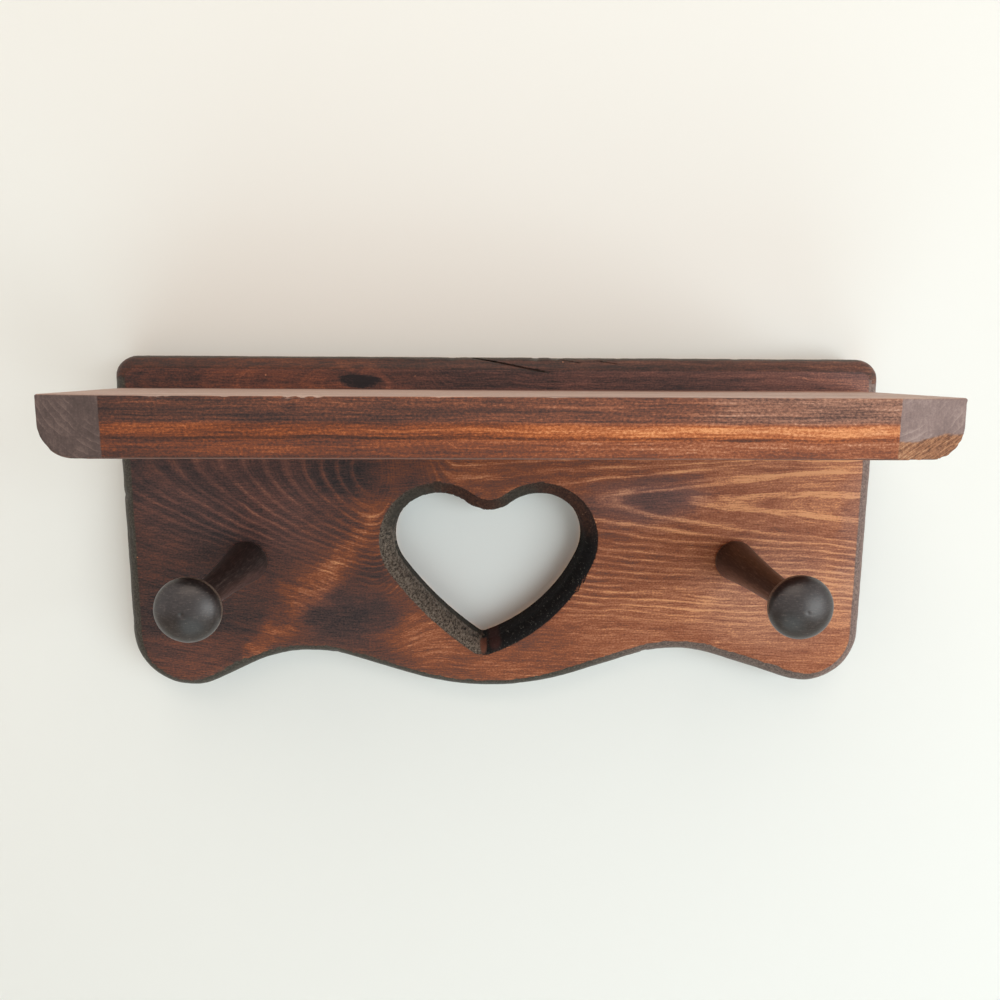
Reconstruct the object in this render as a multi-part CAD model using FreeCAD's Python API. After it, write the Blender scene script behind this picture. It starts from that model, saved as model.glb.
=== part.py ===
import FreeCAD, Part

import math
import os

# A wall rack in stained pine: a sawn board with a heart, a shelf with tapered ends, two turned pegs.
# Millimetres. X runs along the board, -Y faces the room, Z is up.
# The back of the board is the plane Y = 0, and the two wall screws enter at Z = 0.

# Board
board_width = 311.0
board_height = 139.0
board_thickness = 18.0
board_top = 38.0
top_corner_radius = 9.0
round_over_radius = 6.0

# Lower edge: end lobes, hollow crests and a broad middle lobe, with a straight run between each two.
# The left end lobe is the fuller and the right end's run the longer, so the sawn pattern lies
# a little left of the board's middle.
# The runs beside the middle lobe are a share of the way from a crest to the middle.
left_lobe_radius = 24.3
right_lobe_radius = 23.0
left_end_straight = 15.4
right_end_straight = 33.9
crest_radius = 58.0
crest_rise = 15.0
middle_lobe_drop = 1.2
middle_straight_share = 0.333

# Heart, measured up from the foot of the board and sideways from the middle lobe
heart_shift = -1.8
heart_lobe_rise = 63.6
heart_lobe_radius = 19.3
heart_lobe_spacing = 42.2
heart_notch_radius = 15.3
heart_tip_rise = 18.8
heart_tip_shift = -2.7
heart_tip_radius = 3.0
heart_left_flank_radius = 143.0
heart_right_flank_radius = 69.0

# Shelf, a little short of the board at both ends, which run in towards the front.
# Shallow clips cut the front corners back.
shelf_left_setback = 3.0
shelf_right_setback = 7.5
shelf_left_taper = 18.0
shelf_right_taper = 15.8
shelf_depth = 98.0
shelf_thickness = 18.0
shelf_drop = 13.0
shelf_left_clip = 19.3
shelf_right_clip = 21.4
shelf_clip_depth = 4.0
shelf_end_radius = 9.5
shelf_edge_radius = 0.8

# Pegs
peg_end_distance = 53.75
peg_rise = 55.2
peg_exposed_length = 74.5
peg_base_diameter = 17.2
peg_base_round = 0.9
peg_taper_hollow = 0.8
peg_neck_diameter = 9.8
peg_neck_cove = 2.0
peg_knob_diameter = 22.4
peg_knob_dome = 7.0
peg_crown_radius_share = 0.714
peg_shoulder = 2.25
peg_tenon_chamfer = 1.0
peg_hole_floor = 3.0
glue_space = 1.0

# Keyhole hangers
hanger_end_distance = 55.5
hanger_width = 16.0
hanger_height = 44.0
hanger_thickness = 1.6
hanger_corner_radius = 3.0
hanger_screw_end_distance = 5.0
keyhole_entry_diameter = 9.5
keyhole_slot_width = 4.8
keyhole_travel = 10.0
head_pocket_margin = 0.75
head_pocket_depth = 8.0

# Countersunk screws: head diameter, shank diameter, whole length
hanger_screw_head = 6.4
hanger_screw_shank = 3.2
hanger_screw_length = 12.7
shelf_screw_head = 8.4
shelf_screw_shank = 4.2
shelf_screw_length = 38.0
shelf_screw_end_distance = 23.5
countersink_angle = 82.0
screw_point_length = 4.0

# A screw's cross recess, as shares of its head diameter
recess_length_share = 0.56
recess_width_share = 0.14
recess_depth_share = 0.16

# Space left round what is let in or screwed in, how far a cut runs past a face,
# and how closely two places match when an edge is picked out for rounding
fit_clearance = 0.1
overrun = 2.0
same_place = 0.01

# Sizes and places that follow
board_bottom = board_top - board_height
board_front = -board_thickness
shelf_left_end = -board_width / 2 + shelf_left_setback
shelf_right_end = board_width / 2 - shelf_right_setback
shelf_front = board_front - shelf_depth
shelf_top = board_top - shelf_drop
shelf_bottom = shelf_top - shelf_thickness
shelf_screw_z = shelf_top - shelf_thickness / 2
hanger_z = (keyhole_travel + keyhole_slot_width / 2 - keyhole_entry_diameter / 2) / 2
hanger_screw_spacing = hanger_height - 2 * hanger_screw_end_distance
head_pocket_width = keyhole_entry_diameter + 2 * head_pocket_margin
peg_z = board_bottom + peg_rise
peg_tenon_diameter = peg_base_diameter - 2 * peg_shoulder
peg_tenon_length = board_thickness - peg_hole_floor - glue_space
peg_crown_radius = peg_knob_diameter * peg_crown_radius_share
knob_back_radius = (peg_knob_diameter - peg_neck_diameter) / 2
knob_ring = peg_exposed_length - peg_knob_dome
peg_neck_end = knob_ring - knob_back_radius


def front_point(x, z):
    """A point of an outline drawn on the back plane."""
    return FreeCAD.Vector(x, 0, z)


def unit(vector):
    return FreeCAD.Vector(vector).normalize()


def arc(first, middle, last):
    return Part.Arc(first, middle, last).toShape()


def line(first, last):
    return Part.LineSegment(first, last).toShape()


def short_arc(centre, radius, first, last):
    """The arc of less than half a turn about a centre."""
    middle = centre + unit((first - centre) + (last - centre)) * radius
    return arc(first, middle, last)


def polygon_face(points):
    return Part.Face(Part.makePolygon(points + points[:1]))


def circle_crossing(first_centre, first_radius, second_centre, second_radius, towards):
    """Where two circles in the board's plane cross, on the side that 'towards' points to."""
    span = second_centre - first_centre
    along = (first_radius ** 2 - second_radius ** 2 + span.Length ** 2) / (2 * span.Length)
    across = math.sqrt(first_radius ** 2 - along ** 2)
    side = unit(front_point(-span.z, span.x))
    if side.dot(towards) < 0:
        side = -side
    return first_centre + unit(span) * along + side * across


def crossing_tangent(lobe_centre, lobe_radius, crest_centre, crest_radius):
    """The touching points of the line that runs under a lobe and over a crest."""
    span = crest_centre - lobe_centre
    along = (lobe_radius + crest_radius) / span.Length
    across = math.sqrt(1 - along ** 2)
    side = unit(front_point(-span.z, span.x))
    if side.z > 0:
        side = -side
    normal = unit(span) * along + side * across
    return lobe_centre + normal * lobe_radius, crest_centre - normal * crest_radius


def crest_distance(lobe_radius, straight):
    """How far in from an end lobe's centre a crest's centre lies, for a straight run between them."""
    reach = lobe_radius + crest_radius
    return math.sqrt(straight ** 2 + 2 * reach * crest_rise - crest_rise ** 2)


def lower_edge_circles():
    """Centres and radii of the lower edge's five rounds, from right to left."""
    left_x = left_lobe_radius - board_width / 2
    right_x = board_width / 2 - right_lobe_radius
    crest_z = board_bottom + crest_rise - crest_radius
    right_crest_x = right_x - crest_distance(right_lobe_radius, right_end_straight)
    left_crest_x = left_x + crest_distance(left_lobe_radius, left_end_straight)
    half_span = (right_crest_x - left_crest_x) / 2
    fall = crest_rise + middle_lobe_drop
    straight = half_span * middle_straight_share
    middle_radius = (half_span ** 2 + fall ** 2 - straight ** 2) / (2 * fall) - crest_radius
    middle_z = board_bottom - middle_lobe_drop + middle_radius
    return [
        (front_point(right_x, board_bottom + right_lobe_radius), right_lobe_radius),
        (front_point(right_crest_x, crest_z), crest_radius),
        (front_point((right_crest_x + left_crest_x) / 2, middle_z), middle_radius),
        (front_point(left_crest_x, crest_z), crest_radius),
        (front_point(left_x, board_bottom + left_lobe_radius), left_lobe_radius),
    ]


def lower_edge(right_end, left_end):
    """The wavy lower edge, from the right side of the board to the left side."""
    circles = lower_edge_circles()
    edges = []
    start = right_end
    for index in range(len(circles) - 1):
        centre, radius = circles[index]
        next_centre, next_radius = circles[index + 1]
        if index % 2 == 0:
            leave, arrive = crossing_tangent(centre, radius, next_centre, next_radius)
        else:
            arrive, leave = crossing_tangent(next_centre, next_radius, centre, radius)
        edges.append(short_arc(centre, radius, start, leave))
        edges.append(line(leave, arrive))
        start = arrive
    centre, radius = circles[-1]
    edges.append(short_arc(centre, radius, start, left_end))
    return edges


def board_outline():
    half = board_width / 2
    corner_x = half - top_corner_radius
    corner_z = board_top - top_corner_radius
    right_top = front_point(corner_x, board_top)
    right_side = front_point(half, corner_z)
    left_side = front_point(-half, corner_z)
    left_top = front_point(-corner_x, board_top)
    right_end = front_point(half, board_bottom + right_lobe_radius)
    left_end = front_point(-half, board_bottom + left_lobe_radius)
    edges = [
        line(left_top, right_top),
        short_arc(front_point(corner_x, corner_z), top_corner_radius, right_top, right_side),
        line(right_side, right_end),
    ]
    edges += lower_edge(right_end, left_end)
    edges += [
        line(left_end, left_side),
        short_arc(front_point(-corner_x, corner_z), top_corner_radius, left_side, left_top),
    ]
    return Part.Wire(edges)


def heart_side(side, flank_radius, tip):
    """One lobe and flank of the heart, from the notch to the tip, and where it leaves the notch."""
    lobe_z = board_bottom + heart_lobe_rise
    lobe = front_point(heart_x + side * heart_lobe_spacing / 2, lobe_z)
    reach = heart_lobe_radius + heart_notch_radius
    notch_rise = math.sqrt(reach ** 2 - (heart_lobe_spacing / 2) ** 2)
    notch = front_point(heart_x, lobe_z + notch_rise)
    leave = lobe + unit(notch - lobe) * heart_lobe_radius
    inwards = front_point(-side, 1)
    flank = circle_crossing(lobe, flank_radius - heart_lobe_radius, tip, flank_radius, inwards)
    meet = flank + unit(lobe - flank) * flank_radius
    outer = unit(front_point(side * (notch - lobe).z, side * (lobe - notch).x))
    outer_top = lobe + outer * heart_lobe_radius
    edges = [arc(leave, outer_top, meet), short_arc(flank, flank_radius, meet, tip)]
    return edges, leave, notch


def heart_prism():
    """The solid that the heart cut-out takes away from the board."""
    tip = front_point(heart_x + heart_tip_shift, board_bottom + heart_tip_rise)
    left_edges, left_leave, notch = heart_side(-1, heart_left_flank_radius, tip)
    right_edges, right_leave, notch = heart_side(1, heart_right_flank_radius, tip)
    notch_bottom = notch - front_point(0, heart_notch_radius)
    notch_edge = arc(right_leave, notch_bottom, left_leave)
    outline = Part.Wire(left_edges + right_edges[::-1] + [notch_edge])
    prism = Part.Face(outline).extrude(FreeCAD.Vector(0, -board_thickness, 0))
    tip_edges = [edge for edge in prism.Edges
                 if abs(edge.CenterOfMass.x - tip.x) + abs(edge.CenterOfMass.z - tip.z) < same_place]
    return prism.makeFillet(heart_tip_radius, tip_edges)


def upright_slot(width, bottom_z, top_z, start_y, end_y, x):
    """A round-ended bar along Z, between two depths, with its end centres at the given heights."""
    depth = end_y - start_y
    depth_vector = FreeCAD.Vector(0, depth, 0)
    axis = FreeCAD.Vector(0, 1, 0)
    low = Part.makeCylinder(width / 2, depth, FreeCAD.Vector(x, start_y, bottom_z), axis)
    high = Part.makeCylinder(width / 2, depth, FreeCAD.Vector(x, start_y, top_z), axis)
    left = x - width / 2
    right = x + width / 2
    web = polygon_face([
        FreeCAD.Vector(left, start_y, bottom_z), FreeCAD.Vector(right, start_y, bottom_z),
        FreeCAD.Vector(right, start_y, top_z), FreeCAD.Vector(left, start_y, top_z),
    ]).extrude(depth_vector)
    return low.fuse([high, web]).removeSplitter()


def screw_head_height(head_diameter, shank_diameter):
    return (head_diameter - shank_diameter) / 2 / math.tan(math.radians(countersink_angle / 2))


def screw_profile(head_diameter, shank_diameter, length, space):
    """Half section of a countersunk screw along +X, its flat head at zero, grown by 'space' all round."""
    head = head_diameter / 2 + space
    shank = shank_diameter / 2 + space
    neck = screw_head_height(head_diameter, shank_diameter)
    end = length + space
    return [
        FreeCAD.Vector(0, 0, 0), FreeCAD.Vector(0, head, 0), FreeCAD.Vector(neck, shank, 0),
        FreeCAD.Vector(end - screw_point_length, shank, 0), FreeCAD.Vector(end, 0, 0),
    ]


def screw_solid(head_diameter, shank_diameter, length, x, z, face_y, space=0):
    """A screw driven from behind, towards -Y, with its head's flat at face_y."""
    profile = polygon_face(screw_profile(head_diameter, shank_diameter, length, space))
    solid = profile.revolve(FreeCAD.Vector(0, 0, 0), FreeCAD.Vector(1, 0, 0), 360)
    solid.rotate(FreeCAD.Vector(0, 0, 0), FreeCAD.Vector(0, 0, 1), -90)
    solid.translate(FreeCAD.Vector(x, face_y, z))
    return solid


def cross_recess(head_diameter, x, z, face_y):
    """The driver's cross, cut into a screw head."""
    length = head_diameter * recess_length_share
    width = head_diameter * recess_width_share
    depth = head_diameter * recess_depth_share
    flat = Part.makeBox(length, depth + overrun, width,
                        FreeCAD.Vector(x - length / 2, face_y - depth, z - width / 2))
    upright = Part.makeBox(width, depth + overrun, length,
                           FreeCAD.Vector(x - width / 2, face_y - depth, z - length / 2))
    return flat.fuse(upright)


def make_screw(head_diameter, shank_diameter, length, x, z, face_y):
    solid = screw_solid(head_diameter, shank_diameter, length, x, z, face_y)
    return solid.cut(cross_recess(head_diameter, x, z, face_y))


def plate_blank(x, space, depth):
    """The hanger's outline as a solid let in from the back, grown by 'space' all round."""
    width = hanger_width + 2 * space
    height = hanger_height + 2 * space
    corner = FreeCAD.Vector(x - width / 2, -depth, hanger_z - height / 2)
    blank = Part.makeBox(width, depth, height, corner)
    corners = [edge for edge in blank.Edges if abs(edge.CenterOfMass.y + depth / 2) < same_place]
    return blank.makeFillet(hanger_corner_radius + space, corners)


def hanger_screw_places(x):
    return [(x, hanger_z + side * hanger_screw_spacing / 2) for side in (1, -1)]


def make_hanger(x):
    """A flat steel plate with a keyhole and two countersunk holes."""
    plate = plate_blank(x, 0, hanger_thickness)
    entry = Part.makeCylinder(keyhole_entry_diameter / 2, hanger_thickness + 2 * overrun,
                              FreeCAD.Vector(x, -hanger_thickness - overrun, 0), FreeCAD.Vector(0, 1, 0))
    slot = upright_slot(keyhole_slot_width, 0, keyhole_travel, -hanger_thickness - overrun, overrun, x)
    cuts = [entry, slot]
    for screw_x, screw_z in hanger_screw_places(x):
        cuts.append(screw_solid(hanger_screw_head, hanger_screw_shank, hanger_screw_length,
                                screw_x, screw_z, 0, fit_clearance))
    return plate.cut(cuts)


def hanger_bed(x):
    """What is routed and bored out of the board behind one hanger."""
    bed = plate_blank(x, fit_clearance, hanger_thickness)
    pocket = upright_slot(head_pocket_width, 0, keyhole_travel,
                          -hanger_thickness - head_pocket_depth, 0, x)
    cuts = [bed, pocket]
    for screw_x, screw_z in hanger_screw_places(x):
        cuts.append(screw_solid(hanger_screw_head, hanger_screw_shank, hanger_screw_length,
                                screw_x, screw_z, 0, fit_clearance))
    return cuts


def front_edges(solid, depth_y):
    """The edges that lie in one upright plane, such as the face of the board."""
    return [edge for edge in solid.Edges
            if all(abs(vertex.Y - depth_y) < same_place for vertex in edge.Vertexes)
            and abs(edge.CenterOfMass.y - depth_y) < same_place]


def make_back_board():
    blank = Part.Face(board_outline()).extrude(FreeCAD.Vector(0, -board_thickness, 0))
    board = blank.cut(heart_prism())
    board = board.makeFillet(round_over_radius, front_edges(board, board_front))
    cuts = []
    for x in hanger_places:
        cuts += hanger_bed(x)
    for x in shelf_screw_places:
        cuts.append(screw_solid(shelf_screw_head, shelf_screw_shank, shelf_screw_length,
                                x, shelf_screw_z, 0, fit_clearance))
    for x in peg_places:
        cuts.append(Part.makeCylinder(peg_tenon_diameter / 2 + fit_clearance,
                                      peg_tenon_length + glue_space + overrun,
                                      FreeCAD.Vector(x, board_front - overrun, peg_z),
                                      FreeCAD.Vector(0, 1, 0)))
    return board.cut(cuts)


def shelf_outline():
    left_corner = shelf_left_end + shelf_left_taper
    right_corner = shelf_right_end - shelf_right_taper
    clip_end = shelf_front + shelf_clip_depth
    return [
        FreeCAD.Vector(shelf_left_end, board_front, shelf_bottom),
        FreeCAD.Vector(left_corner, clip_end, shelf_bottom),
        FreeCAD.Vector(left_corner + shelf_left_clip, shelf_front, shelf_bottom),
        FreeCAD.Vector(right_corner - shelf_right_clip, shelf_front, shelf_bottom),
        FreeCAD.Vector(right_corner, clip_end, shelf_bottom),
        FreeCAD.Vector(shelf_right_end, board_front, shelf_bottom),
    ]


def meets_board(edge):
    """Whether one end of an edge, and only one, lies on the board's face."""
    touching = [vertex for vertex in edge.Vertexes if abs(vertex.Point.y - board_front) < same_place]
    return len(touching) == 1


def make_shelf_board():
    shelf = polygon_face(shelf_outline()).extrude(FreeCAD.Vector(0, 0, shelf_thickness))
    under_ends = [edge for edge in shelf.Edges
                  if abs(edge.CenterOfMass.z - shelf_bottom) < same_place and meets_board(edge)]
    shelf = shelf.makeFillet(shelf_end_radius, under_ends)
    eased = [edge for edge in shelf.Edges
             if abs(edge.CenterOfMass.z - shelf_top) < same_place
             and abs(edge.CenterOfMass.y - board_front) > same_place]
    eased += [edge for edge in shelf.Edges
              if abs(edge.CenterOfMass.z - shelf_bottom) < same_place
              and abs(edge.CenterOfMass.y - shelf_front) < same_place]
    shelf = shelf.makeFillet(shelf_edge_radius, eased)
    holes = [screw_solid(shelf_screw_head, shelf_screw_shank, shelf_screw_length,
                         x, shelf_screw_z, 0, fit_clearance) for x in shelf_screw_places]
    return shelf.cut(holes)


def peg_profile():
    """Half section of a peg along +X: board face at zero, tenon behind it, knob in front."""
    tenon = peg_tenon_diameter / 2
    base = peg_base_diameter / 2
    neck = peg_neck_diameter / 2
    knob = peg_knob_diameter / 2

    def point(along, radius):
        return FreeCAD.Vector(along, radius, 0)

    taper_start = point(peg_base_round, base)
    taper_middle = point((peg_base_round + peg_neck_end) / 2, (base + neck) / 2 - peg_taper_hollow)
    bend = math.sqrt(0.5)
    base_centre = point(peg_base_round, base - peg_base_round)
    base_middle = base_centre + point(-bend, bend) * peg_base_round
    back_centre = point(knob_ring, neck)
    back_middle = back_centre + point(-bend, bend) * knob_back_radius
    crown_centre = point(peg_exposed_length - peg_crown_radius, 0)
    shoulder = ((2 * peg_knob_dome * peg_crown_radius - peg_knob_dome ** 2 - knob ** 2)
                / (2 * (peg_crown_radius - knob)))
    shoulder_centre = point(knob_ring, knob - shoulder)
    crown_start = crown_centre + unit(shoulder_centre - crown_centre) * peg_crown_radius
    pole = point(peg_exposed_length, 0)
    return [
        line(pole, point(-peg_tenon_length, 0)),
        line(point(-peg_tenon_length, 0), point(-peg_tenon_length, tenon - peg_tenon_chamfer)),
        line(point(-peg_tenon_length, tenon - peg_tenon_chamfer),
             point(-peg_tenon_length + peg_tenon_chamfer, tenon)),
        line(point(-peg_tenon_length + peg_tenon_chamfer, tenon), point(0, tenon)),
        line(point(0, tenon), point(0, base - peg_base_round)),
        arc(point(0, base - peg_base_round), base_middle, taper_start),
        arc(taper_start, taper_middle, point(peg_neck_end, neck)),
        arc(point(peg_neck_end, neck), back_middle, point(knob_ring, knob)),
        short_arc(shoulder_centre, shoulder, point(knob_ring, knob), crown_start),
        short_arc(crown_centre, peg_crown_radius, crown_start, pole),
    ]


def make_peg(x):
    """A turned shaker peg, square to the board, with its knob towards the room."""
    peg = Part.Face(Part.Wire(peg_profile())).revolve(FreeCAD.Vector(0, 0, 0), FreeCAD.Vector(1, 0, 0), 360)
    neck_edges = [edge for edge in peg.Edges
                  if abs(edge.CenterOfMass.x - peg_neck_end) < same_place and edge.isClosed()]
    peg = peg.makeFillet(peg_neck_cove, neck_edges)
    peg.rotate(FreeCAD.Vector(0, 0, 0), FreeCAD.Vector(0, 0, 1), -90)
    peg.translate(FreeCAD.Vector(x, board_front, peg_z))
    return peg


half_width = board_width / 2
pattern_x = lower_edge_circles()[2][0].x
heart_x = pattern_x + heart_shift
peg_places = [pattern_x + side * (half_width - peg_end_distance) for side in (-1, 1)]
hanger_places = [side * (half_width - hanger_end_distance) for side in (-1, 1)]
shelf_screw_places = [side * (half_width - shelf_screw_end_distance) for side in (-1, 0, 1)]

pieces = {
    "back_board": make_back_board(),
    "shelf_board": make_shelf_board(),
}
for side, x in zip(("left", "right"), peg_places):
    pieces[side + "_peg"] = make_peg(x)
for side, x in zip(("left", "centre", "right"), shelf_screw_places):
    pieces[side + "_shelf_screw"] = make_screw(shelf_screw_head, shelf_screw_shank, shelf_screw_length,
                                               x, shelf_screw_z, 0)
for side, x in zip(("left", "right"), hanger_places):
    pieces[side + "_keyhole_plate"] = make_hanger(x)
    for place, (screw_x, screw_z) in zip(("upper", "lower"), hanger_screw_places(x)):
        pieces[side + "_plate_" + place + "_screw"] = make_screw(
            hanger_screw_head, hanger_screw_shank, hanger_screw_length, screw_x, screw_z, 0)

os.makedirs("parts", exist_ok=True)
for name, shape in pieces.items():
    shape.exportStep("parts/" + name + ".step")
    print(name, "solids", len(shape.Solids), "valid", shape.isValid(), "volume", round(shape.Volume, 1))
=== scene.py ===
import math

import bmesh
import bpy
from mathutils import Matrix, Vector
from mathutils import noise as wander


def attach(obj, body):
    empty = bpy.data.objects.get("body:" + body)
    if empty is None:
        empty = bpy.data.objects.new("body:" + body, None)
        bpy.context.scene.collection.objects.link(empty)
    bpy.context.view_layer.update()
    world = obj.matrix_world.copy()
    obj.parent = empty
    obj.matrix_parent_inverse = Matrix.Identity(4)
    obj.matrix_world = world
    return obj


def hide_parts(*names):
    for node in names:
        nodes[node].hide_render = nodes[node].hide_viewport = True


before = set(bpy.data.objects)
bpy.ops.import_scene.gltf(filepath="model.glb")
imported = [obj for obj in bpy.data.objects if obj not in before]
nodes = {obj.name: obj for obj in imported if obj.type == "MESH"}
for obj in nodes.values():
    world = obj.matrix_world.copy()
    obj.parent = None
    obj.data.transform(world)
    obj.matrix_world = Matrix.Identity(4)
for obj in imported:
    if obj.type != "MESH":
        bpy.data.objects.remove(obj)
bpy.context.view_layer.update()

mm = 0.001  # metres
print("frame loaded:", len(nodes), "nodes")


# Small helpers for building materials

def stain(red, green, blue):
    # a colour given 0 to 255, as the linear values that the renderer wants
    def straight(part):
        part = part / 255
        return part / 12.92 if part < 0.04045 else ((part + 0.055) / 1.055) ** 2.4
    return (straight(red), straight(green), straight(blue), 1.0)


def feed(tree, socket, value):
    if isinstance(value, bpy.types.NodeSocket):
        tree.links.new(value, socket)
    else:
        socket.default_value = value


def addNode(tree, kind, inputs=None, **settings):
    made = tree.nodes.new("ShaderNode" + kind)
    for name, value in settings.items():
        setattr(made, name, value)
    for key, value in (inputs or {}).items():
        feed(tree, made.inputs[key], value)
    return made


def calc(tree, operation, first, second=0.0, third=0.0):
    return addNode(tree, "Math", {0: first, 1: second, 2: third}, operation=operation).outputs[0]


def minus(tree, first, second):
    return calc(tree, "SUBTRACT", first, second)


def weighted(tree, value, weight, base):
    return calc(tree, "MULTIPLY_ADD", value, weight, base)


def apart(tree, value, middle):
    return calc(tree, "ABSOLUTE", minus(tree, value, middle))


def split(tree, vector):
    return addNode(tree, "SeparateXYZ", {0: vector}).outputs


def joined(tree, x, y, z):
    return addNode(tree, "CombineXYZ", {0: x, 1: y, 2: z}).outputs[0]


def total(tree, *values):
    result = values[0]
    for value in values[1:]:
        result = calc(tree, "ADD", result, value)
    return result


def times(tree, *values):
    result = values[0]
    for value in values[1:]:
        result = calc(tree, "MULTIPLY", result, value)
    return result


def fade(tree, value, start, end, low=0.0, high=1.0):
    # a soft step: low before start, high after end
    return addNode(tree, "MapRange", {"Value": value, "From Min": start, "From Max": end,
                                      "To Min": low, "To Max": high},
                   interpolation_type="SMOOTHSTEP").outputs[0]


def blend(tree, share, first, second, way="MIX"):
    mix = tree.nodes.new("ShaderNodeMix")
    mix.data_type = "RGBA"
    mix.blend_type = way
    feed(tree, mix.inputs[0], share)
    feed(tree, mix.inputs[6], first)
    feed(tree, mix.inputs[7], second)
    return mix.outputs[2]


def blendValue(tree, share, first, second):
    mix = tree.nodes.new("ShaderNodeMix")
    feed(tree, mix.inputs[0], share)
    feed(tree, mix.inputs[2], first)
    feed(tree, mix.inputs[3], second)
    return mix.outputs[0]


def rampOf(tree, value, stops, smooth="LINEAR"):
    ramp = addNode(tree, "ValToRGB", {0: value})
    ramp.color_ramp.interpolation = smooth
    for index, (place, colour) in enumerate(stops):
        if not isinstance(colour, tuple):
            colour = (colour, colour, colour, 1.0)
        stop = ramp.color_ramp.elements[index] if index < 2 else ramp.color_ramp.elements.new(place)
        stop.position = place
        stop.color = colour
    return ramp.outputs[0]


def noise(tree, place, size, detail=2.0, roughness=0.5):
    # size is how long the blotches are along x, y and z, in millimetres
    scaled = addNode(tree, "VectorMath", {0: place, 1: tuple(1 / part for part in size)},
                     operation="MULTIPLY").outputs[0]
    return addNode(tree, "TexNoise", {"Vector": scaled, "Scale": 1.0, "Detail": detail,
                                      "Roughness": roughness}).outputs[0]


def centred(tree, value, amount):
    # noise from 0..1 to -amount..amount
    return weighted(tree, value, 2 * amount, -amount)


def ovalReach(tree, place, centre, size, tilt, depth):
    # how far out in an oval seen from the front: 0 in its middle, 1 at its rim
    mapped = addNode(tree, "Mapping", {"Vector": place, "Location": (centre[0], 0.0, centre[1]),
                                       "Rotation": (0.0, math.radians(tilt), 0.0),
                                       "Scale": (size[0], depth, size[1])}, vector_type="TEXTURE").outputs[0]
    return addNode(tree, "VectorMath", {0: mapped}, operation="LENGTH").outputs["Value"]


def spot(tree, place, centre, size, tilt=0.0, core=0.0):
    # a soft oval mark that goes through the wood, so it's the same at any depth
    throughWood = 1e5
    return fade(tree, ovalReach(tree, place, centre, size, tilt, throughWood), 1.0, core)


def addSpots(tree, place, marks, core, base):
    for x, z, length, height, tilt, strength in marks:
        base = weighted(tree, spot(tree, place, (x, z), (length, height), tilt, core), strength, base)
    return base


def within(tree, value, low, high):
    return times(tree, calc(tree, "GREATER_THAN", value, low), calc(tree, "LESS_THAN", value, high))


def shades(tree, grit, stops):
    return rampOf(tree, grit, [(stop, stain(*shade)) for stop, shade in stops])


def startMaterial(name):
    material = bpy.data.materials.new(name)
    material.use_nodes = True
    tree = material.node_tree
    tree.nodes.clear()
    shader = addNode(tree, "BsdfPrincipled")
    addNode(tree, "OutputMaterial", {"Surface": shader.outputs[0]})
    coordinates = addNode(tree, "TexCoord")
    # place is in millimetres, facing is the surface's direction along x, y and z
    place = addNode(tree, "VectorMath", {0: coordinates.outputs["Object"], 1: (1000, 1000, 1000)},
                    operation="MULTIPLY").outputs[0]
    facing = split(tree, coordinates.outputs["Normal"])
    return material, tree, shader, place, facing


def coat(tree, shader, colour, roughness, height, bumpDepth, bumpStrength):
    feed(tree, shader.inputs["Base Color"], colour)
    feed(tree, shader.inputs["Roughness"], roughness)
    bump = addNode(tree, "Bump", {"Strength": bumpStrength, "Distance": bumpDepth * mm, "Height": height})
    feed(tree, shader.inputs["Normal"], bump.outputs[0])


def dress(piece, material):
    piece.data.materials.clear()
    piece.data.materials.append(material)


# Stained pine of the back board

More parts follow.
